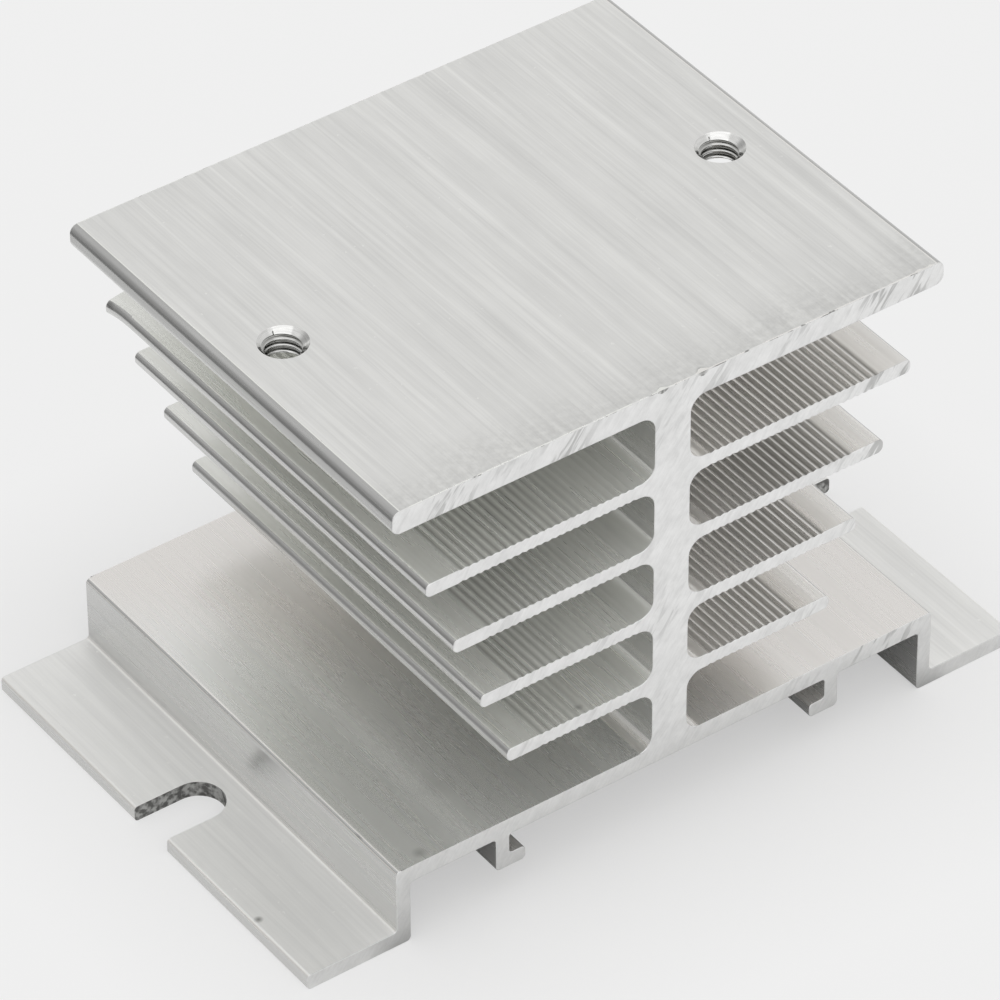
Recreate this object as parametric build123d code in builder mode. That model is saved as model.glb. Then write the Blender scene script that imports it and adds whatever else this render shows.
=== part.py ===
from build123d import *
import os

# Sizes in millimetres. X runs across the heat sink, Y along the extrusion, Z up from its feet.
length = 50.0
height = 50.0
foot_width = 80.0

# Plate on top, the relay's seat
seat_width = 60.0
seat_thickness = 2.5
seat_edge_radius = 0.9

# Web, with as many fins as it has room for, each shorter than the one above it
web_thickness = 3.9
fin_pitch = 7.8
fin_thickness = 1.5
top_fin_drop = 9.6
least_deck_gap = 6.0
top_fin_reach = 26.6
fin_reach_step = 2.85
fin_tip_radius = 0.6
root_radius = 1.6

# Fine shallow V grooves along both faces of every fin, nearly side by side
groove_pitch = 0.8
groove_width = 0.72
groove_depth = 0.12
plain_tip = 3.5

# Deck, and the steps down to the feet
deck_width = 60.5
deck_top = 8.8
deck_thickness = 1.9
step_thickness = 1.5
foot_thickness = 1.7
outer_bend_radius = 0.5
inner_bend_radius = 0.4
foot_edge_radius = 0.4

# Hooks under the deck, for a 35 mm rail
rail_room = 35.7
hook_gap = 2.3
stem_thickness = 1.5
toe_reach = 1.75
toe_thickness = 1.5
toe_radius = 0.45

# Tapped M4 holes for the relay, and the open slots in the feet
relay_hole_spacing = 48.0
tapping_diameter = 3.3
countersink_diameter = 4.7
countersink_angle = 90
drill_runout = 1.0
slot_width = 5.3
slot_to_step = 1.95

# Heights and places that follow from these sizes
seat_underside = height - seat_thickness
deck_underside = deck_top - deck_thickness
toe_top = deck_underside - hook_gap
toe_underside = toe_top - toe_thickness
web_side = web_thickness / 2
step_outside = deck_width / 2
step_inside = step_outside - step_thickness
stem_inside = rail_room / 2
stem_outside = stem_inside + stem_thickness
toe_tip = stem_inside - toe_reach
slot_depth = foot_width / 2 - step_outside - slot_to_step

# Fins from the top one down
top_fin_top = height - top_fin_drop
lower_fin_room = top_fin_top - fin_thickness - deck_top - least_deck_gap
fin_count = 1 + int(lower_fin_room / fin_pitch)
fin_tops = [top_fin_top - row * fin_pitch for row in range(fin_count)]
fin_undersides = [top - fin_thickness for top in fin_tops]
fin_reaches = [top_fin_reach - row * fin_reach_step for row in range(fin_count)]


def rounding(radius, wall):
    """The radius, kept under half of the wall or gap that it rounds."""
    return min(radius, 0.45 * wall)


def corners_at(sketch, places):
    """The sketch's corners nearest to the given places."""
    return [sketch.vertices().sort_by_distance(place)[0] for place in places]


def groove_places(reach, top):
    """Places of the grooves on the upper and lower face of one fin, from its tip to its root."""
    outermost = reach - plain_tip
    count = int((outermost - web_side - root_radius) / groove_pitch)
    across = [outermost - (step + 0.5) * groove_pitch for step in range(count)]
    return [(x, z) for x in across for z in (top, top - fin_thickness)]


with BuildPart() as heat_sink:
    # Right half of the extruded profile, on the far end's plane
    with BuildSketch(Plane.XZ.offset(-length / 2)) as profile:
        hung = (Align.MIN, Align.MAX)
        standing = (Align.MIN, Align.MIN)
        with Locations((0, deck_underside)):
            Rectangle(web_side, height - deck_underside, align=standing)
        with Locations((0, height)):
            Rectangle(seat_width / 2, seat_thickness, align=hung)
        for reach, top in zip(fin_reaches, fin_tops):
            with Locations((0, top)):
                Rectangle(reach, fin_thickness, align=hung)

        # Deck, step and foot
        with Locations((0, deck_top)):
            Rectangle(step_outside, deck_thickness, align=hung)
        with Locations((step_inside, 0)):
            Rectangle(step_thickness, deck_top, align=standing)
            Rectangle(foot_width / 2 - step_inside, foot_thickness, align=standing)

        # Hook: a stem with its toe turned in towards the web
        with Locations((stem_inside, toe_underside)):
            Rectangle(stem_thickness, deck_top - toe_underside, align=standing)
        with Locations((toe_tip, toe_underside)):
            Rectangle(toe_reach + stem_thickness, toe_thickness, align=standing)

        # Rounded roots of the web, in every gap
        ceilings = [seat_underside] + fin_undersides
        floors = fin_tops + [deck_top]
        narrowest_gap = min(ceiling - floor for ceiling, floor in zip(ceilings, floors))
        roots = corners_at(profile, [(web_side, z) for z in ceilings + floors])
        fillet(roots, rounding(root_radius, narrowest_gap))

        # Rounded edges of the seat and of the fins' tips
        seat_corners = [(seat_width / 2, height), (seat_width / 2, seat_underside)]
        fillet(corners_at(profile, seat_corners), rounding(seat_edge_radius, seat_thickness))
        tips = list(zip(fin_reaches, fin_tops)) + list(zip(fin_reaches, fin_undersides))
        fillet(corners_at(profile, tips), rounding(fin_tip_radius, fin_thickness))

        # Bends of the step, edge of the foot, and the hook's corners
        outer_bends = [(step_outside, deck_top), (step_inside, 0)]
        fillet(corners_at(profile, outer_bends), outer_bend_radius)
        inner_bends = [
            (step_inside, deck_underside),
            (step_outside, foot_thickness),
            (stem_inside, deck_underside),
            (stem_outside, deck_underside),
            (stem_inside, toe_top),
        ]
        fillet(corners_at(profile, inner_bends), inner_bend_radius)
        foot_corners = [(foot_width / 2, foot_thickness), (foot_width / 2, 0)]
        fillet(corners_at(profile, foot_corners), rounding(foot_edge_radius, foot_thickness))
        toe_corners = [(stem_outside, toe_underside), (toe_tip, toe_underside), (toe_tip, toe_top)]
        fillet(corners_at(profile, toe_corners), rounding(toe_radius, toe_thickness))

        # Each groove is the lower or upper half of a diamond
        half_width = groove_width / 2
        diamond = [(half_width, 0), (0, groove_depth), (-half_width, 0), (0, -groove_depth)]
        for reach, top in zip(fin_reaches, fin_tops):
            with Locations(*groove_places(reach, top)):
                Polygon(*diamond, mode=Mode.SUBTRACT)
        mirror(about=Plane.YZ)
    extrude(amount=length)

    # Tapped holes through the seat, with a small countersink
    with Locations((-relay_hole_spacing / 2, 0, height), (relay_hole_spacing / 2, 0, height)):
        CounterSinkHole(
            radius=tapping_diameter / 2,
            counter_sink_radius=countersink_diameter / 2,
            depth=seat_thickness + drill_runout,
            counter_sink_angle=countersink_angle,
        )

    # Screw slots, open at the feet's outer edges
    with BuildSketch(Plane.XY):
        with Locations((-foot_width / 2, 0), (foot_width / 2, 0)):
            SlotOverall(2 * slot_depth, slot_width)
    extrude(amount=foot_thickness, mode=Mode.SUBTRACT)

heat_sink.part.label = "heat_sink"

os.makedirs("parts", exist_ok=True)
export_step(heat_sink.part, "parts/heat_sink.step")
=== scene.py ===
import math

import bmesh
import bpy
from mathutils import Matrix, Vector, noise


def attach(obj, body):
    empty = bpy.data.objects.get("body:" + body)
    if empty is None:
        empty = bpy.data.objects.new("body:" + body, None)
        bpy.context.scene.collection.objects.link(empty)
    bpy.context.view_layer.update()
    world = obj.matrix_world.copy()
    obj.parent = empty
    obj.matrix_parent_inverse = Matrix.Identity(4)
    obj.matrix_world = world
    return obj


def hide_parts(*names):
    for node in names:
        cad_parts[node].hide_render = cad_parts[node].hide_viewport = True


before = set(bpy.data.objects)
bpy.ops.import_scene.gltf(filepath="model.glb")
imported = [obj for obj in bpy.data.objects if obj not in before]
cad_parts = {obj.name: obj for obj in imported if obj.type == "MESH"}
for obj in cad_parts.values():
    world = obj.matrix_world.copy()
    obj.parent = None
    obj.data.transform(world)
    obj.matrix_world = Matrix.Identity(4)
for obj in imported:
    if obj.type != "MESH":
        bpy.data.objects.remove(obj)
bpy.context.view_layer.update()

# Lengths are in metres. X runs across the feet, Y along the extrusion and Z up.
MM = 0.001

# The extrusion: its ends, the plate on top, the fins with their grooves, and the deck
HALF_LENGTH = 25 * MM
SEAT_TOP = 50 * MM
SEAT_UNDERSIDE = 47.5 * MM
SEAT_HALF_WIDTH = 30 * MM
FIN_TOPS = [40.4 * MM, 32.6 * MM, 24.8 * MM, 17.0 * MM]
FIN_THICKNESS = 1.5 * MM
GROOVE_DEPTH = 0.12 * MM
DECK_TOP = 8.8 * MM

# Places that part one area from the next: under all the fins, outside the steps, clear of the web,
# and just under the plate
LOWEST_FIN = 15 * MM
STEP_OUTSIDE = 30.3 * MM
CLEAR_OF_WEB = 5 * MM
BELOW_PLATE = 47.3 * MM

# How near two places are that count as one
HAIR = 0.001 * MM
WELD = 0.002 * MM
SNUG = 0.003 * MM
CLOSE = 0.01 * MM

# How much of a face's normal lies along an axis, if it is flat, nearly flat, or turned to a saw
# cut. Threads are less level than the plate, and slot walls are upright.
FLAT = 0.999
NEARLY_FLAT = 0.9
TOWARDS_CUT = 0.3
THREAD_LEVEL = 0.98
WALL_LEVEL = 0.5

# Rounded edges, which get painted shade: how far their faces lean aside, on the plate and elsewhere,
# and how far they still look up, on the deck and elsewhere
PLATE_EDGE_LEAN = 0.12
EDGE_LEAN = 0.35
DECK_EDGE_RISE = 0.6
EDGE_RISE = 0.15

# The knocked rear corner of the upper left fin: from where it bends, where it is cut, how far down
BEND_SIDE = 23.5 * MM
BEND_REACH = 26.6 * MM
BEND_START = 21.2 * MM
BEND_CUTS = (0.0, 0.3, 0.6, 0.85)
BEND_DROP = 0.6 * MM

# Holes through the plate
HOLE_ASIDE = 24 * MM
HOLE_PLACES = [(-HOLE_ASIDE, 0.0), (HOLE_ASIDE, 0.0)]
HOLE_REACH = 2.6 * MM
COUNTERSINK_RADIUS = 2.37 * MM
CONE_FOOT_RADIUS = 1.2 * MM
CONE_ABOVE = 0.4 * MM
CONE_SIDES = 96

# M4 x 0.7 threads in the holes. The flanks are in shares of a turn.
THREAD_PITCH = 0.7 * MM
THREAD_CREST = 1.68 * MM
THREAD_ROOT = 2.03 * MM
FLANK_START = 0.22
FLANK_END = 0.98
FLANK_WIDTH = 0.26
THREAD_COLUMNS = 72
ROWS_PER_TURN = 12
THREAD_TURNS = 6.5
TURNS_BELOW_PLATE = 2.2

# Painted shade in the roots of the threads: between which radii it darkens them, and between which
# heights it ends
ROOT_SHADE_START = 1.72 * MM
ROOT_SHADE_FULL = 1.92 * MM
ROOT_SHADE_TOP = 49.2 * MM
ROOT_SHADE_END = 49.4 * MM

# Slots in the feet: everything upright in this area is a slot's wall
SLOT_NEAR = 32 * MM
SLOT_HALF_WIDTH = 2.8 * MM

# Saw-cut edges, and the burr of the plate's
EDGE_ROUNDING = 0.08 * MM
BURR_STEP = 0.3 * MM
BURR_SIZE = 0.035 * MM
BURR_HEIGHT = 0.3 * MM

# Noise of the burr: its waves per metre, its seeds, the finer noise's share, and its strength
BURR_COARSE = 900
BURR_FINE = 2600
BURR_UPRIGHT = 40
COARSE_SEED = 3.1
FINE_SEED = 7.7
FINE_SHARE = 0.6
BURR_STRENGTH = 1.6
BURR_INSET = 0.8

# Nicks in the plate's front top edge, in mm: place, half width, depth
NICKS = [(-1.2, 0.5, 0.35), (3.2, 0.6, 0.4), (27.2, 0.5, 0.15), (28.6, 0.4, 0.15)]

# Stains, each in mm: its place, its reach, and how dark it is. Chips lie beside the nicks, specks on
# the left foot, the others on the faces that they name. On the deck, the two wide spots near the web
# are painted shade under the fins; the small ones are stains.
CHIPS = [(-1.2, -24.9, 50.0, 0.45, 1.0), (3.2, -24.9, 50.0, 0.65, 1.0)]
SPECKS = [(-39.3, -16.3, 1.7, 0.5, 1.0)]
FIN_STAINS = [(-9.5, -24.0, 17.0, 0.5, 0.7)]
DECK_STAINS_AND_SHADE = [
    (-27.0, -24.0, 8.8, 0.8, 0.5), (-20.5, -17.5, 8.8, 2.2, 0.14),
    (-7.0, -22.0, 8.8, 20.0, 0.24), (5.0, -20.0, 8.8, 9.0, 0.4),
]
EDGE_STAINS = [(-30.4, -18.9, 8.7, 0.8, 0.8), (-26.6, 24.6, 39.8, 1.0, 0.6)]
STAIN_COLOUR = (0.3, 0.3, 0.29)

# Saw marks: their lean from upright, and where they gather, in mm: place, reach, lowest height,
# and strength
SAW_LEAN = math.radians(35)
SAW_CLUSTERS = [
    (-24, 4, 46, 0.9), (-11.5, 3.5, 46, 0.9), (4, 3, 46, 0.6), (14, 5, 46, 0.5), (24.5, 6, 0, 1.0),
]

# Saw cuts darker towards the bottom: how dark, and between which heights it ends
LOW_DARK_SHARE = 0.2
LOW_DARK_TOP = 6 * MM
LOW_DARK_END = 10 * MM

# Painted shade at the bottoms of the grooves: how dark, near the web and near the tips, left and right
WEB_END = 6 * MM
TIP_END = 15 * MM
NO_GROOVE_SHADE = (0.0, 0.0)
LEFT_GROOVE_SHADE = (0.0, 0.6)
RIGHT_GROOVE_SHADE = (0.3, 1.0)

# Painted warm light on the deck: a tinge that comes in where x and y, added up, pass between these two
WARM_START = -20 * MM
WARM_FULL = -6 * MM
WARM_LIGHT_TINGE = (1.0, 0.955, 0.94)

# Dirty band on the plate, behind its front cut: where it ends, and how far its edge wanders
BAND_FRONT = -24.5 * MM
BAND_BACK = -19 * MM
BAND_WANDER = -12 * MM

# Oxide film: how much of the look is bare metal, the rest being pale and dull
METAL_SHARE = 0.8

# Light of the room: its brightest side, and its levels there and on the other side
BRIGHT_SIDE = (0.75, -0.25, 0.6)
BRIGHT_LEVEL = 0.765
DIM_LEVEL = 0.845
LEVEL_TURN = (-0.75, 0.45)
ROOM_COLOUR = (1.0, 0.998, 0.99, 1.0)

# Lamps: their places, widths and powers, and the point that they shine on
LAMPS = {
    "lamp_above": ((-0.2, -0.32, 0.8), 1.1, 1.6),
    "lamp_front": ((0.1, -0.8, 0.35), 0.8, 0.6),
}
LAMP_AIM = (0, 0, 0.02)

# Dark corner of the room: where it is, how dark, and how it ends to the sides and upwards
DARK_CORNER = (-0.77, 0.64, 0)
DARK_SHARE = 0.5
CORNER_TURN = (0.6, 0.85)
CORNER_HEIGHT = (0.38, 0.56)

# Floor: how even its paleness is, and how far from the deck its shadow reaches
FLOOR_HALF_WIDTH = 1.5
FLOOR_COLOUR = (0.86, 0.86, 0.86)
# Painted shadow: the floor's colour under the deck, hidden from the camera
UNDER_DECK_PAINTED_SHADOW = (0.4, 0.4, 0.4)
EVEN_COLOUR = (0.885, 0.885, 0.885, 1.0)
FLOOR_EVENNESS = 0.88
SHADOW_EVENNESS = 0.5
SHADOW_FULL = 3 * MM
SHADOW_FADED = 24 * MM

# Where the floor on the left turns dim in the metal's reflections, which draws the fins' edges
DIM_FLOOR_START = -60 * MM
DIM_FLOOR_FULL = -80 * MM
DIM_FLOOR_SHARE = 0.8

# Camera, fitted to the photo: the place it looks at in mm, its distance, angles and lens in mm
CAMERA_AIM = (-3.818, -4.276, 25.0)
CAMERA_DISTANCE = 670.43 * MM
CAMERA_TURN = math.radians(35.6306)
CAMERA_DOWN = math.radians(39.6661)
CAMERA_ROLL = math.radians(-0.3608)
CAMERA_LENS = 266.468
CAMERA_SENSOR = 36.0


def shown(name, data):
    """A new object in the scene."""
    made = bpy.data.objects.new(name, data)
    bpy.context.scene.collection.objects.link(made)
    return made


def mesh_piece(name, bm):
    """An object made from a bmesh."""
    mesh = bpy.data.meshes.new(name)
    bm.to_mesh(mesh)
    bm.free()
    return shown(name, mesh)


def joined_copy(node_name, piece_name):
    """A new piece with the solid's own mesh, its corners joined and its flat faces made whole."""
    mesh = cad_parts[node_name].data.copy()
    mesh.materials.clear()
    bm = bmesh.new()
    bm.from_mesh(mesh)
    bmesh.ops.remove_doubles(bm, verts=bm.verts, dist=WELD)
    bmesh.ops.dissolve_limit(bm, angle_limit=math.radians(0.2), verts=bm.verts, edges=bm.edges)
    bmesh.ops.recalc_face_normals(bm, faces=bm.faces)
    bm.to_mesh(mesh)
    bm.free()
    return shown(piece_name, mesh)


def thread_radius(turn):
    """Radius of the tapped wall at a share of one turn: two flats joined by sloping flanks."""
    turn = turn % 1.0
    past = turn - FLANK_START if turn < 0.5 else FLANK_END - turn
    rise = min(1.0, max(0.0, past / FLANK_WIDTH))
    return THREAD_CREST + (THREAD_ROOT - THREAD_CREST) * rise


def screw_cutter(name, x, y):
    """A closed screw body whose rows follow the helix, with its ends clear of the plate."""
    bottom = SEAT_UNDERSIDE - TURNS_BELOW_PLATE * THREAD_PITCH
    rows = int(THREAD_TURNS * ROWS_PER_TURN)
    high = rows + ROWS_PER_TURN
    bm = bmesh.new()

    # The first column is a turn longer, because the last one joins it a turn higher
    columns = []
    for column in range(THREAD_COLUMNS):
        share = column / THREAD_COLUMNS
        angle = 2 * math.pi * share
        points = []
        for row in range((high if column == 0 else rows) + 1):
            turn = row / ROWS_PER_TURN
            radius = thread_radius(turn)
            z = bottom + (turn + share) * THREAD_PITCH
            points.append(bm.verts.new((x + radius * math.cos(angle), y + radius * math.sin(angle), z)))
        columns.append(points)
    first = columns[0]
    for a, b in zip(columns, columns[1:] + [first[ROWS_PER_TURN:]]):
        for row in range(rows):
            bm.faces.new((a[row], b[row], b[row + 1], a[row + 1]))

    # Ends
    low_loop = [points[0] for points in columns] + first[ROWS_PER_TURN:0:-1]
    high_loop = [points[rows] for points in columns] + first[high:rows:-1]
    low_centre = bm.verts.new((x, y, bottom))
    high_centre = bm.verts.new((x, y, bottom + high / ROWS_PER_TURN * THREAD_PITCH))
    for a, b in zip(low_loop, low_loop[1:] + low_loop[:1]):
        bm.faces.new((b, a, low_centre))
    for a, b in zip(high_loop, high_loop[1:] + high_loop[:1]):
        bm.faces.new((a, b, high_centre))
    bmesh.ops.recalc_face_normals(bm, faces=bm.faces)
    return mesh_piece(name, bm)


def cone_cutter(name, x, y):
    """A smooth 90 degree cone for the countersink."""
    deep = COUNTERSINK_RADIUS - CONE_FOOT_RADIUS
    bm = bmesh.new()
    bmesh.ops.create_cone(
        bm, cap_ends=True, segments=CONE_SIDES, radius1=COUNTERSINK_RADIUS - deep,
        radius2=COUNTERSINK_RADIUS + CONE_ABOVE, depth=deep + CONE_ABOVE,
    )
    bmesh.ops.translate(bm, verts=bm.verts, vec=(x, y, SEAT_TOP + (CONE_ABOVE - deep) / 2))
    return mesh_piece(name, bm)


def cut_away(piece, cutters):
    """Takes the cutters out of the piece, one after another, and removes them."""
    for cutter in cutters:
        modifier = piece.modifiers.new("cut", "BOOLEAN")
        modifier.operation = "DIFFERENCE"
        modifier.solver = "EXACT"
        modifier.object = cutter
        bpy.context.view_layer.update()
        result = piece.evaluated_get(bpy.context.evaluated_depsgraph_get())
        cut = bpy.data.meshes.new_from_object(result)
        piece.modifiers.clear()
        old = piece.data
        piece.data = cut
        bpy.data.meshes.remove(old)
    for cutter in cutters:
        mesh = cutter.data
        bpy.data.objects.remove(cutter)
        bpy.data.meshes.remove(mesh)


def on_end(vert):
    """True for the corners that lie on a saw cut."""
    return abs(abs(vert.co.y) - HALF_LENGTH) < SNUG


def on_edge_of(edge, height):
    """True for the plate's long edges at a saw cut, at this height."""
    return all(on_end(v) and abs(v.co.z - height) < SNUG for v in edge.verts)


def whole_cut_faces(bm):
    """Joins the faces of each saw cut into one."""
    def on_cut(face):
        return abs(face.normal.y) > FLAT and on_end(face.verts[0])

    inner = [e for e in bm.edges if len(e.link_faces) == 2 and all(on_cut(f) for f in e.link_faces)]
    bmesh.ops.dissolve_edges(bm, edges=inner, use_verts=False)


def finer_plate_edges(bm):
    """Splits the plate's saw-cut edges into short steps, for their burr."""
    long_edges = [e for e in bm.edges if on_edge_of(e, SEAT_TOP) or on_edge_of(e, SEAT_UNDERSIDE)]
    for edge in long_edges:
        steps = int(edge.calc_length() / BURR_STEP)
        for left in range(steps, 1, -1):
            cut_off = bmesh.utils.edge_split(edge, edge.verts[0], 1 / left)[0]
            edge = max((edge, cut_off), key=lambda part: part.calc_length())


def round_cut_edges(bm):
    """A tiny rounding where the saw cuts meet the drawn faces."""
    edges = [
        e for e in bm.edges
        if all(on_end(v) for v in e.verts) and len(e.link_faces) == 2
        and abs(e.link_faces[0].normal.dot(e.link_faces[1].normal)) < 0.5
    ]
    bmesh.ops.bevel(
        bm, geom=edges, offset=EDGE_ROUNDING, offset_type="OFFSET", segments=2,
        profile=0.5, affect="EDGES", clamp_overlap=False,
    )


def ragged_plate_edges(bm):
    """Moves the rounded edges of the plate in their own faces, so that the burr is uneven."""
    for v in bm.verts:
        x, y, z = v.co
        near_end = HALF_LENGTH - abs(y) < 2 * EDGE_ROUNDING
        if abs(x) > SEAT_HALF_WIDTH - 1.2 * MM or not near_end:
            continue
        side = 1 if y > 0 else -1
        coarse = noise.noise(Vector((x * BURR_COARSE, side * COARSE_SEED, z * BURR_UPRIGHT)))
        fine = noise.noise(Vector((x * BURR_FINE, side * FINE_SEED, z * BURR_UPRIGHT)))
        shift = BURR_SIZE * max(-BURR_INSET, (coarse + FINE_SHARE * fine) * BURR_STRENGTH)
        for place_at, half_width, depth in NICKS:
            away = abs(x - place_at * MM) / (half_width * MM)
            if side < 0 and z > SEAT_TOP - 2 * EDGE_ROUNDING and away < 1:
                shift += depth * MM * (1 - away * away)
        shift += BURR_INSET * BURR_SIZE
        if abs(z - SEAT_TOP) < HAIR and abs(y) < HALF_LENGTH - CLOSE:
            v.co.y -= side * shift
        if on_end(v) and abs(z - SEAT_TOP) < 2 * EDGE_ROUNDING:
            v.co.z -= shift
        if on_end(v) and abs(z - SEAT_UNDERSIDE) < 2 * EDGE_ROUNDING:
            v.co.z += shift


def bent_corner(bm):
    """Bends the rear corner of the upper left fin down, as if it had been knocked."""
    low = FIN_TOPS[0] - FIN_THICKNESS - 0.1 * MM
    high = FIN_TOPS[0] + 0.1 * MM

    def in_fin(point):
        return point.x < -BEND_SIDE and low < point.z < high

    for share in BEND_CUTS:
        fin = [f for f in bm.faces if in_fin(f.calc_center_median())]
        edges = {e for f in fin for e in f.edges}
        corners = {v for f in fin for v in f.verts}
        bmesh.ops.bisect_plane(
            bm, geom=[*fin, *edges, *corners], dist=HAIR, plane_no=Vector((0, 1, 0)),
            plane_co=Vector((0, BEND_START + share * (HALF_LENGTH - BEND_START), 0)),
        )
    for v in bm.verts:
        if in_fin(v.co) and v.co.y > BEND_START:
            along = (v.co.y - BEND_START) / (HALF_LENGTH - BEND_START)
            aside = (-BEND_SIDE - v.co.x) / (BEND_REACH - BEND_SIDE)
            v.co.z -= BEND_DROP * along * along * aside


def on_rounded_edge(face):
    """True on the upper rounding of the plate, of a fin's tip, or of the deck's outer bend."""
    x, y, z = face.center
    least_lean = PLATE_EDGE_LEAN if z > SEAT_UNDERSIDE else EDGE_LEAN
    least_rise = DECK_EDGE_RISE if z < LOWEST_FIN else EDGE_RISE
    leans = face.normal.z > least_rise and abs(face.normal.x) > least_lean
    return leans and abs(x) > CLEAR_OF_WEB and z > DECK_TOP - 1 * MM


def surface_of(face):
    """The name of the material that a face shows."""
    x, y, z = face.center
    tilt = face.normal
    near_hole = min(math.hypot(x - hx, y - hy) for hx, hy in HOLE_PLACES) < HOLE_REACH
    if near_hole and z > BELOW_PLATE and abs(tilt.z) < THREAD_LEVEL:
        return "tapped_aluminium"
    if abs(x) > SLOT_NEAR and abs(y) < SLOT_HALF_WIDTH and abs(tilt.z) < WALL_LEVEL:
        return "milled_aluminium"
    if abs(tilt.y) > TOWARDS_CUT:
        burred = abs(tilt.y) < FLAT and z > SEAT_TOP - BURR_HEIGHT
        return "burred_edge" if burred else "sawn_aluminium"
    # Rounded edges get a dark metal colour: painted shade
    if on_rounded_edge(face):
        return "drawn_edges_painted_shade"
    if abs(z - DECK_TOP) < CLOSE and tilt.z > NEARLY_FLAT:
        return "smooth_deck"
    if z > SEAT_TOP - CLOSE and tilt.z > FLAT:
        return "worn_plate"
    if abs(x) > STEP_OUTSIDE and tilt.z > NEARLY_FLAT:
        return "worn_feet"
    # Upright sides get a darker metal colour: painted shade
    if abs(tilt.x) > NEARLY_FLAT:
        return "drawn_sides_painted_shade"
    if -SEAT_HALF_WIDTH < x < 0 and z > LOWEST_FIN:
        return "dull_fins"
    return "drawn_aluminium"


def paint_faces(piece, materials):
    """Gives every face its material."""
    slots = {}
    for material in materials:
        slots[material.name] = len(piece.data.materials)
        piece.data.materials.append(material)
    for face in piece.data.polygons:
        face.material_index = slots[surface_of(face)]


def mark_grooves(piece):
    """Marks the bottoms of the fins' grooves, so that painted shade can darken their metal there."""
    upper = [top - GROOVE_DEPTH for top in FIN_TOPS]
    lower = [top - FIN_THICKNESS + GROOVE_DEPTH for top in FIN_TOPS]
    mark = piece.data.attributes.new("groove", "FLOAT", "POINT")
    for v in piece.data.vertices:
        away = min(abs(v.co.z - bottom) for bottom in upper + lower)
        mark.data[v.index].value = 1.0 if away < CLOSE else 0.0


def smooth_shading(piece):
    """Round faces smooth, flat faces flat."""
    piece.data.shade_smooth()
    for face in piece.data.polygons:
        if abs(face.normal.y) > FLAT:
            face.use_smooth = False
    piece.data.set_sharp_from_angle(angle=math.radians(38))
    flat = piece.modifiers.new("flat_faces", "WEIGHTED_NORMAL")
    flat.mode = "FACE_AREA"
    flat.weight = 100
    flat.keep_sharp = True


def is_socket(value):
    return isinstance(value, bpy.types.NodeSocket)


def node(tree, kind, inputs=None, **settings):
    """One shader node, with its settings, and its inputs set or linked."""
    made = tree.nodes.new(kind)
    for name, value in settings.items():
        setattr(made, name, value)
    for name, value in (inputs or {}).items():
        if is_socket(value):
            tree.links.new(value, made.inputs[name])
        else:
            made.inputs[name].default_value = value
    return made


def number(tree, operation, *values):
    """A number worked out from one or two others."""
    return node(tree, "ShaderNodeMath", dict(enumerate(values)), operation=operation).outputs[0]


def vector(tree, operation, *values):
    """A vector worked out from one or two others."""
    inputs = dict(enumerate(values))
    return node(tree, "ShaderNodeVectorMath", inputs, operation=operation).outputs["Vector"]


def measure(tree, operation, *values):
    """A number worked out from one or two vectors."""
    inputs = dict(enumerate(values))
    return node(tree, "ShaderNodeVectorMath", inputs, operation=operation).outputs["Value"]


def part_of(tree, point, axis):
    """A point's or a direction's part along one axis."""
    return node(tree, "ShaderNodeSeparateXYZ", {0: point}).outputs[axis]


def remap(tree, value, low, high, to_low, to_high, **settings):
    """The value stretched from one range to another, and kept inside it."""
    inputs = {
        "Value": value, "From Min": low, "From Max": high, "To Min": to_low, "To Max": to_high,
    }
    return node(tree, "ShaderNodeMapRange", inputs, **settings).outputs["Result"]


def on_object(tree):
    """The point on the object in metres."""
    return node(tree, "ShaderNodeTexCoord").outputs["Object"]


def scaled(tree, point, scale):
    """The point, with each axis scaled."""
    return node(tree, "ShaderNodeMapping", {"Vector": point, "Scale": scale}).outputs["Vector"]


def noise_at(tree, point, detail, roughness, distortion=0.0):
    """Noise from 0 to 1."""
    inputs = {
        "Vector": point, "Scale": 1.0, "Detail": detail,
        "Roughness": roughness, "Distortion": distortion,
    }
    return node(tree, "ShaderNodeTexNoise", inputs).outputs["Fac"]


def grain(tree, scale, detail=3.0, roughness=0.5):
    """Noise from 0 to 1 on the object, with its waves per metre on each axis."""
    return noise_at(tree, scaled(tree, on_object(tree), scale), detail, roughness)


def mixed_grain(tree, *layers):
    """Several noises added up, each with its share."""
    total = None
    for value, share in layers:
        part = number(tree, "MULTIPLY", value, share)
        total = part if total is None else number(tree, "ADD", total, part)
    return total


def mixed_colour(tree, share, first, second, blend_type="MIX"):
    """A colour between two, by a share from 0 to 1. Each is a socket, or red, green and blue."""
    made = node(tree, "ShaderNodeMix", {0: share}, data_type="RGBA", blend_type=blend_type)
    for socket, colour in zip([s for s in made.inputs if s.type == "RGBA"], (first, second)):
        if is_socket(colour):
            tree.links.new(colour, socket)
        else:
            socket.default_value = (*colour, 1.0)
    return [s for s in made.outputs if s.type == "RGBA"][0]


def mixed_shader(tree, share, first, *second):
    """One shader taken towards another, or towards black, by a share from 0 to 1."""
    inputs = dict(enumerate((share, first, *second)))
    return node(tree, "ShaderNodeMixShader", inputs).outputs[0]


def darkened(tree, colour, share):
    """The colour, taken towards a dark one by a share from 0 to 1."""
    return mixed_colour(tree, share, colour, STAIN_COLOUR, "MULTIPLY")


def stained(tree, colour, stains):
    """The colour with dark spots, each a place, a reach and a strength."""
    for x, y, z, reach, strength in stains:
        away = measure(tree, "DISTANCE", on_object(tree), Vector((x, y, z)) * MM)
        near = remap(tree, away, 0.0, reach * MM, 1.0, 0.0)
        colour = darkened(tree, colour, number(tree, "MULTIPLY", near, strength))
    return colour


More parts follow.
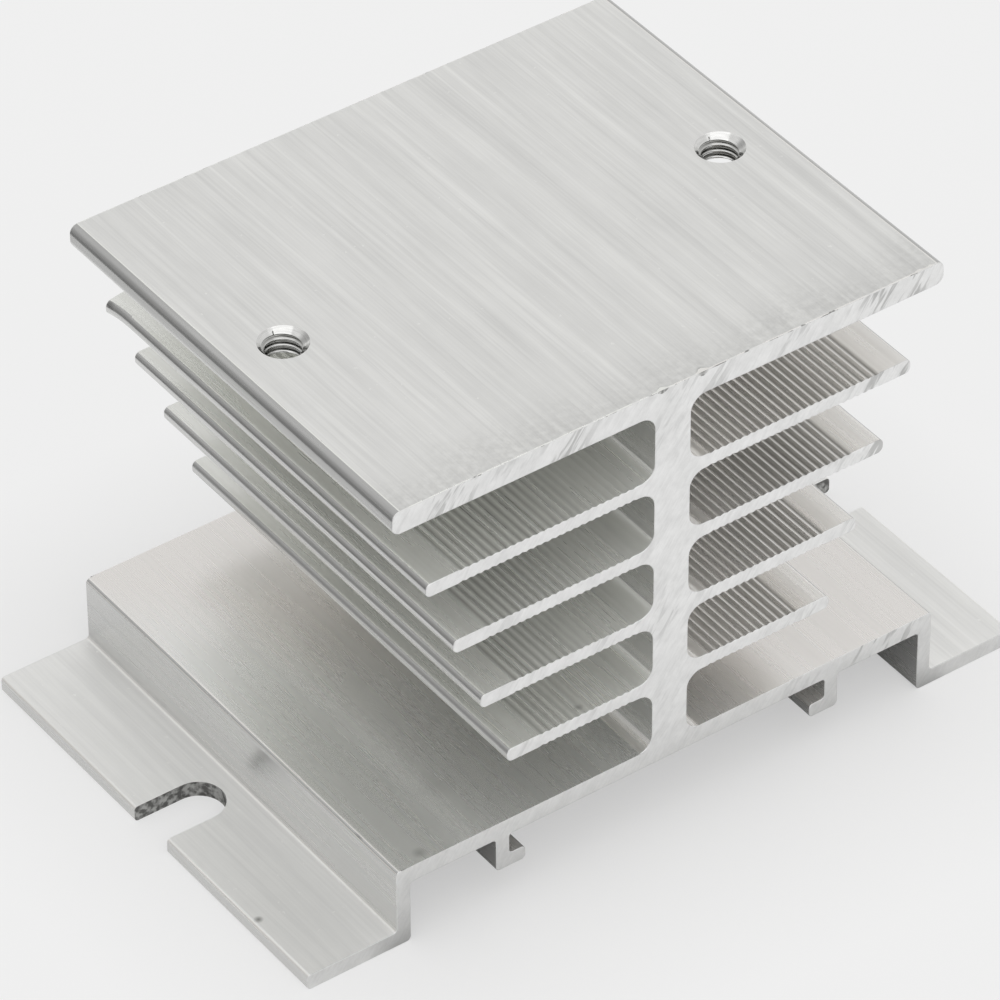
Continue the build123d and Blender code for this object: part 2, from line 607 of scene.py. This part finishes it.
def groove_shaded(tree, colour, grooves):
    """The colour with painted shade at the grooves' bottoms: by one share at the web, another at the
    tips.
    """
    mark = node(tree, "ShaderNodeAttribute", attribute_name="groove").outputs["Fac"]
    aside = number(tree, "ABSOLUTE", part_of(tree, on_object(tree), "X"))
    share = remap(tree, aside, WEB_END, TIP_END, *grooves)
    return darkened(tree, colour, number(tree, "MULTIPLY", mark, share))


def warm_lit(tree, colour, warm):
    """The colour with a painted tinge of warm light, which grows from the front left to the rear right.
    """
    here = on_object(tree)
    along = number(tree, "ADD", part_of(tree, here, "X"), part_of(tree, here, "Y"))
    share = remap(tree, along, WARM_START, WARM_FULL, 0.0, warm)
    return mixed_colour(tree, share, colour, WARM_LIGHT_TINGE, "MULTIPLY")


def bump(tree, height, distance):
    """Normals as if the surface rose by this distance where the height is 1."""
    inputs = {"Height": height, "Distance": distance, "Strength": 1.0}
    return node(tree, "ShaderNodeBump", inputs).outputs["Normal"]


def metal(name, share=METAL_SHARE):
    """A new metal material, its tree and its shader."""
    material = bpy.data.materials.new(name)
    material.use_nodes = True
    tree = material.node_tree
    shader = tree.nodes["Principled BSDF"]
    shader.inputs["Metallic"].default_value = share
    return material, tree, shader


def drawn_aluminium(
    name, dark, light, grooves=NO_GROOVE_SHADE, share=METAL_SHARE, rough=(0.22, 0.34), stains=(), warm=0.0,
):
    """Mill finish: lines and streaks along the extrusion, clouding, stains, painted groove shade and
    painted warm light.
    """
    material, tree, shader = metal(name, share)
    lines = grain(tree, (2600, 40, 2600), detail=1)
    streaks = grain(tree, (1300, 30, 1300), detail=2, roughness=0.6)
    bands = grain(tree, (420, 12, 420), detail=2)
    clouds = grain(tree, (110, 80, 110), detail=4, roughness=0.6)
    mixed = mixed_grain(tree, (lines, 0.2), (streaks, 0.35), (bands, 0.25), (clouds, 0.2))
    colour = mixed_colour(tree, remap(tree, mixed, 0.38, 0.62, 0.0, 1.0), dark, light)
    colour = stained(tree, groove_shaded(tree, colour, grooves), stains)
    if warm:
        colour = warm_lit(tree, colour, warm)
    tree.links.new(colour, shader.inputs["Base Color"])
    tree.links.new(remap(tree, mixed, 0.3, 0.7, rough[1], rough[0]), shader.inputs["Roughness"])
    shader.inputs["Anisotropic"].default_value = 0.5
    across = node(tree, "ShaderNodeTangent", direction_type="RADIAL", axis="Y").outputs[0]
    tree.links.new(across, shader.inputs["Tangent"])
    return material


def worn_aluminium(name, dark, light, share, rough, dirty):
    """The plate's top and the feet: duller from handling, with a dirty band behind the front cut."""
    material, tree, shader = metal(name, share)
    lines = grain(tree, (4200, 60, 4200), detail=3, roughness=0.6)
    streaks = grain(tree, (1500, 45, 1500), detail=3, roughness=0.6)
    bands = grain(tree, (420, 12, 420), detail=2)
    clouds = grain(tree, (160, 110, 160), detail=5, roughness=0.65)
    specks = grain(tree, (1500, 1300, 1500), detail=3, roughness=0.6)
    mixed = mixed_grain(tree, (lines, 0.25), (streaks, 0.35), (bands, 0.25), (clouds, 0.15))
    flecks = remap(tree, specks, 0.66, 0.72, 0.0, 1.0)
    lightness = number(tree, "MAXIMUM", remap(tree, mixed, 0.38, 0.62, 0.0, 1.0), flecks)
    colour = mixed_colour(tree, lightness, dark, light)

    # Dirty band, with an uneven edge
    wander = number(tree, "MULTIPLY", number(tree, "SUBTRACT", clouds, 0.5), BAND_WANDER)
    uneven = number(tree, "ADD", part_of(tree, on_object(tree), "Y"), wander)
    band = remap(tree, uneven, BAND_FRONT, BAND_BACK, dirty, 0.0)
    dirt = number(tree, "MULTIPLY", band, remap(tree, specks, 0.35, 0.6, 0.3, 1.0))
    colour = stained(tree, darkened(tree, colour, dirt), CHIPS + SPECKS)

    tree.links.new(colour, shader.inputs["Base Color"])
    roughness = remap(tree, mixed, 0.3, 0.7, rough + 0.06, rough - 0.06)
    tree.links.new(roughness, shader.inputs["Roughness"])
    tree.links.new(bump(tree, lines, 0.0015 * MM), shader.inputs["Normal"])
    return material


def gathered_marks(tree, here):
    """Where the saw marks gather, from 0 to 1."""
    gathered = None
    for middle, reach, lowest, strength in SAW_CLUSTERS:
        beside = number(tree, "SUBTRACT", part_of(tree, here, "X"), middle * MM)
        away = number(tree, "ABSOLUTE", beside)
        share = remap(tree, away, 0.4 * reach * MM, reach * MM, strength, 0.0)
        high = number(tree, "GREATER_THAN", part_of(tree, here, "Z"), lowest * MM)
        share = number(tree, "MULTIPLY", share, high)
        gathered = share if gathered is None else number(tree, "MAXIMUM", gathered, share)
    return gathered


def sawn_aluminium():
    """Saw cut: bright and clouded, with leaning dashes from the blade where they gather."""
    material, tree, shader = metal("sawn_aluminium")
    here = on_object(tree)
    turned = {"Vector": here, "Angle": -SAW_LEAN}
    leaning = node(tree, "ShaderNodeVectorRotate", turned, rotation_type="Y_AXIS").outputs[0]

    def dashes(across, along, detail=2.0, roughness=0.5):
        return noise_at(tree, scaled(tree, leaning, (across, 300, along)), detail, roughness, 0.4)

    scattered = remap(tree, dashes(160, 160), 0.45, 0.7, 0.05, 0.5)
    gathered = number(tree, "MAXIMUM", gathered_marks(tree, here), scattered)
    long_marks = dashes(1500, 260)
    fine_marks = dashes(4200, 700, detail=3.0, roughness=0.6)
    clouds = grain(tree, (700, 700, 700), detail=4, roughness=0.65)
    soft = mixed_grain(tree, (clouds, 0.55), (fine_marks, 0.45))
    lightness = remap(tree, soft, 0.36, 0.62, 0.0, 1.0)
    colour = mixed_colour(tree, lightness, (0.79, 0.79, 0.785), (0.9, 0.9, 0.895))
    worn = number(tree, "MULTIPLY", remap(tree, long_marks, 0.5, 0.6, 0.0, 0.5), gathered)
    # Darker towards the bottom
    darker_low = remap(tree, part_of(tree, here, "Z"), LOW_DARK_TOP, LOW_DARK_END, LOW_DARK_SHARE, 0.0)
    colour = darkened(tree, colour, number(tree, "MAXIMUM", worn, darker_low))
    tree.links.new(colour, shader.inputs["Base Color"])
    tree.links.new(remap(tree, clouds, 0.35, 0.65, 0.45, 0.32), shader.inputs["Roughness"])
    marks = mixed_grain(tree, (long_marks, 0.6), (fine_marks, 0.4))
    tree.links.new(bump(tree, marks, 0.02 * MM), shader.inputs["Normal"])
    return material


def burred_edge():
    """The plate's edge at a saw cut: bright, with dark dirt caught in the burr here and there."""
    material, tree, shader = metal("burred_edge", 0.7)
    grains = grain(tree, (900, 300, 900), detail=3, roughness=0.6)
    patches = grain(tree, (130, 100, 130), detail=2)
    dirt = mixed_grain(tree, (grains, 0.7), (patches, 0.3))
    share = remap(tree, dirt, 0.52, 0.6, 0.0, 1.0)
    colour = mixed_colour(tree, share, (0.8, 0.8, 0.79), (0.3, 0.3, 0.29))
    tree.links.new(stained(tree, colour, CHIPS), shader.inputs["Base Color"])
    tree.links.new(remap(tree, grains, 0.3, 0.7, 0.4, 0.6), shader.inputs["Roughness"])
    return material


def tapped_aluminium():
    """Freshly cut thread: bright, with faint rings, and painted shade in its roots below the
    countersink.
    """
    material, tree, shader = metal("tapped_aluminium", 1.0)
    rings = grain(tree, (700, 700, 9000), detail=2)
    here = on_object(tree)
    from_hole = vector(tree, "SUBTRACT", vector(tree, "ABSOLUTE", here), (HOLE_ASIDE, 0, 0))
    radius = measure(tree, "LENGTH", scaled(tree, from_hole, (1, 1, 0)))
    below = remap(tree, part_of(tree, here, "Z"), ROOT_SHADE_TOP, ROOT_SHADE_END, 1.0, 0.0)
    deep = remap(tree, radius, ROOT_SHADE_START, ROOT_SHADE_FULL, 0.25, 1.0)
    share = remap(tree, rings, 0.35, 0.65, 0.0, 1.0)
    colour = mixed_colour(tree, share, (0.72, 0.72, 0.71), (0.84, 0.84, 0.83))
    colour = darkened(tree, colour, number(tree, "MULTIPLY", deep, below))
    tree.links.new(colour, shader.inputs["Base Color"])
    tree.links.new(remap(tree, rings, 0.3, 0.7, 0.22, 0.12), shader.inputs["Roughness"])
    tree.links.new(bump(tree, rings, 0.002 * MM), shader.inputs["Normal"])
    return material


def milled_aluminium():
    """Slot walls: rough chatter from the cutter, with dark dirt in it, on metal painted dark all over
    as shade inside the slot.
    """
    material, tree, shader = metal("milled_aluminium", 1.0)
    chatter = grain(tree, (2600, 2600, 700), detail=4, roughness=0.7)
    dirt = grain(tree, (1500, 1500, 1500), detail=3)
    share = remap(tree, dirt, 0.42, 0.6, 0.0, 1.0)
    # Painted shade: both colours are kept dark, the dirt darker still
    colour = mixed_colour(tree, share, (0.16, 0.16, 0.155), (0.52, 0.52, 0.51))
    tree.links.new(colour, shader.inputs["Base Color"])
    tree.links.new(remap(tree, chatter, 0.3, 0.7, 0.6, 0.35), shader.inputs["Roughness"])
    tree.links.new(bump(tree, chatter, 0.08 * MM), shader.inputs["Normal"])
    return material


def metals():
    """All materials of the heat sink."""
    return [
        drawn_aluminium(
            "drawn_aluminium", (0.865, 0.85, 0.825), (0.965, 0.95, 0.925), RIGHT_GROOVE_SHADE),
        sawn_aluminium(),
        tapped_aluminium(),
        milled_aluminium(),
        # Painted shade: the upright sides are given a darker metal
        drawn_aluminium("drawn_sides_painted_shade", (0.67, 0.67, 0.66), (0.72, 0.72, 0.71), rough=(0.25, 0.3)),
        worn_aluminium(
            "worn_plate", (0.73, 0.73, 0.72), (0.9, 0.9, 0.885), share=0.75, rough=0.38, dirty=0.22),
        worn_aluminium(
            "worn_feet", (0.84, 0.84, 0.83), (0.96, 0.96, 0.945), share=0.62, rough=0.5, dirty=0.0),
        drawn_aluminium(
            "dull_fins", (0.86, 0.865, 0.83), (0.955, 0.96, 0.93), LEFT_GROOVE_SHADE, share=0.6,
            stains=FIN_STAINS),
        burred_edge(),
        # The deck: stains, and painted shade near the web
        drawn_aluminium(
            "smooth_deck", (0.88, 0.885, 0.87), (0.92, 0.925, 0.91), rough=(0.25, 0.3),
            stains=DECK_STAINS_AND_SHADE, warm=0.7),
        # Painted shade: the rounded edges are given a dark metal, with stains
        drawn_aluminium(
            "drawn_edges_painted_shade", (0.46, 0.46, 0.455), (0.56, 0.56, 0.555), stains=EDGE_STAINS),
    ]


def heat_sink():
    """The heat sink with its threads, saw-cut edges and materials."""
    piece = joined_copy("heat_sink", "finned_extrusion")
    cutters = []
    for index, (x, y) in enumerate(HOLE_PLACES):
        cutters.append(cone_cutter(f"countersink_{index}", x, y))
        cutters.append(screw_cutter(f"thread_{index}", x, y))
    cut_away(piece, cutters)
    bm = bmesh.new()
    bm.from_mesh(piece.data)
    whole_cut_faces(bm)
    finer_plate_edges(bm)
    round_cut_edges(bm)
    ragged_plate_edges(bm)
    bent_corner(bm)
    bm.to_mesh(piece.data)
    bm.free()
    paint_faces(piece, metals())
    mark_grooves(piece)
    smooth_shading(piece)
    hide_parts("heat_sink")
    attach(piece, "root")


def floor():
    """A wide pale floor. Part of its paleness is even, so that the object's shadow stays light, and
    under the deck it has a painted shadow that the camera doesn't see.
    """
    bm = bmesh.new()
    bmesh.ops.create_grid(bm, x_segments=1, y_segments=1, size=FLOOR_HALF_WIDTH)
    made = mesh_piece("floor", bm)
    material = bpy.data.materials.new("pale_floor")
    material.use_nodes = True
    tree = material.node_tree
    shader = tree.nodes["Principled BSDF"]
    shader.inputs["Roughness"].default_value = 0.9
    shader.inputs["Specular IOR Level"].default_value = 0.2
    path = node(tree, "ShaderNodeLightPath").outputs
    camera_ray = path["Is Camera Ray"]
    mirrored = number(tree, "MAXIMUM", path["Is Glossy Ray"], path["Is Transmission Ray"])

    # Distance from the deck's outline, and a painted shadow on the floor under the deck that only the
    # metal sees
    here = on_object(tree)
    outline = Vector((STEP_OUTSIDE, HALF_LENGTH, 0))
    beyond = vector(tree, "SUBTRACT", vector(tree, "ABSOLUTE", here), outline)
    away = measure(tree, "LENGTH", vector(tree, "MAXIMUM", beyond, Vector((0, 0, 0))))
    outside = remap(tree, away, 0.0, SHADOW_FULL, 0.0, 1.0)
    open_floor = number(tree, "MAXIMUM", camera_ray, outside)
    colour = mixed_colour(tree, open_floor, UNDER_DECK_PAINTED_SHADOW, FLOOR_COLOUR)
    tree.links.new(colour, shader.inputs["Base Color"])

    # Even paleness
    even = node(tree, "ShaderNodeEmission", {"Color": EVEN_COLOUR, "Strength": 1.0}).outputs[0]
    near = remap(tree, away, 0.0, SHADOW_FADED, SHADOW_EVENNESS, FLOOR_EVENNESS)
    far = remap(tree, away, SHADOW_FULL, SHADOW_FADED, 0.0, FLOOR_EVENNESS)
    seen = number(tree, "MULTIPLY", camera_ray, near)
    share = number(tree, "ADD", seen, number(tree, "MULTIPLY", mirrored, far))
    both = mixed_shader(tree, share, shader.outputs[0], even)

    # Dim in the metal's reflections on the far left
    x = part_of(tree, here, "X")
    left = remap(tree, x, DIM_FLOOR_FULL, DIM_FLOOR_START, DIM_FLOOR_SHARE, 0.0)
    dimmed = mixed_shader(tree, number(tree, "MULTIPLY", mirrored, left), both)
    tree.links.new(dimmed, tree.nodes["Material Output"].inputs["Surface"])
    made.data.materials.append(material)


def lamp(name, place_at, size, power):
    """A soft square lamp turned towards the heat sink."""
    light = bpy.data.lights.new(name, "AREA")
    light.shape = "SQUARE"
    light.size = size
    light.energy = power
    made = shown(name, light)
    made.location = place_at
    made.rotation_euler = (Vector(LAMP_AIM) - Vector(place_at)).to_track_quat("-Z", "Y").to_euler()


def studio():
    """Soft white light from all around, with a dark corner, and a lamp above and in front."""
    world = bpy.data.worlds.new("studio")
    world.use_nodes = True
    tree = world.node_tree
    background = tree.nodes["Background"]
    towards = node(tree, "ShaderNodeTexCoord").outputs["Generated"]

    def facing(side):
        return measure(tree, "DOT_PRODUCT", towards, Vector(side).normalized())

    smooth = {"interpolation_type": "SMOOTHSTEP"}
    level = remap(tree, facing(BRIGHT_SIDE), *LEVEL_TURN, DIM_LEVEL, BRIGHT_LEVEL, **smooth)
    corner = remap(tree, facing(DARK_CORNER), *CORNER_TURN, 0.0, DARK_SHARE, **smooth)
    low = remap(tree, part_of(tree, towards, "Z"), *CORNER_HEIGHT, 1.0, 0.0)
    kept = number(tree, "SUBTRACT", 1.0, number(tree, "MULTIPLY", corner, low))
    tree.links.new(number(tree, "MULTIPLY", level, kept), background.inputs["Strength"])
    background.inputs["Color"].default_value = ROOM_COLOUR
    bpy.context.scene.world = world
    for name, settings in LAMPS.items():
        lamp(name, *settings)


def camera():
    """The photograph's view: a long lens from the front left, looking down on the heat sink."""
    level_share = math.cos(CAMERA_DOWN)
    forward = Vector((
        math.sin(CAMERA_TURN) * level_share, math.cos(CAMERA_TURN) * level_share,
        -math.sin(CAMERA_DOWN),
    ))
    level = forward.cross(Vector((0, 0, 1))).normalized()
    upright = level.cross(forward)
    right = level * math.cos(CAMERA_ROLL) + upright * math.sin(CAMERA_ROLL)
    up = upright * math.cos(CAMERA_ROLL) - level * math.sin(CAMERA_ROLL)
    data = bpy.data.cameras.new("camera")
    data.sensor_width = CAMERA_SENSOR
    data.lens = CAMERA_LENS
    made = shown("camera", data)
    eye = Vector(CAMERA_AIM) * MM - forward * CAMERA_DISTANCE
    turned = Matrix((right, up, -forward)).transposed().to_4x4()
    made.matrix_world = Matrix.Translation(eye) @ turned
    bpy.context.scene.camera = made


heat_sink()
floor()
studio()
camera()
bpy.context.scene.view_settings.view_transform = "Standard"

bpy.context.view_layer.update()
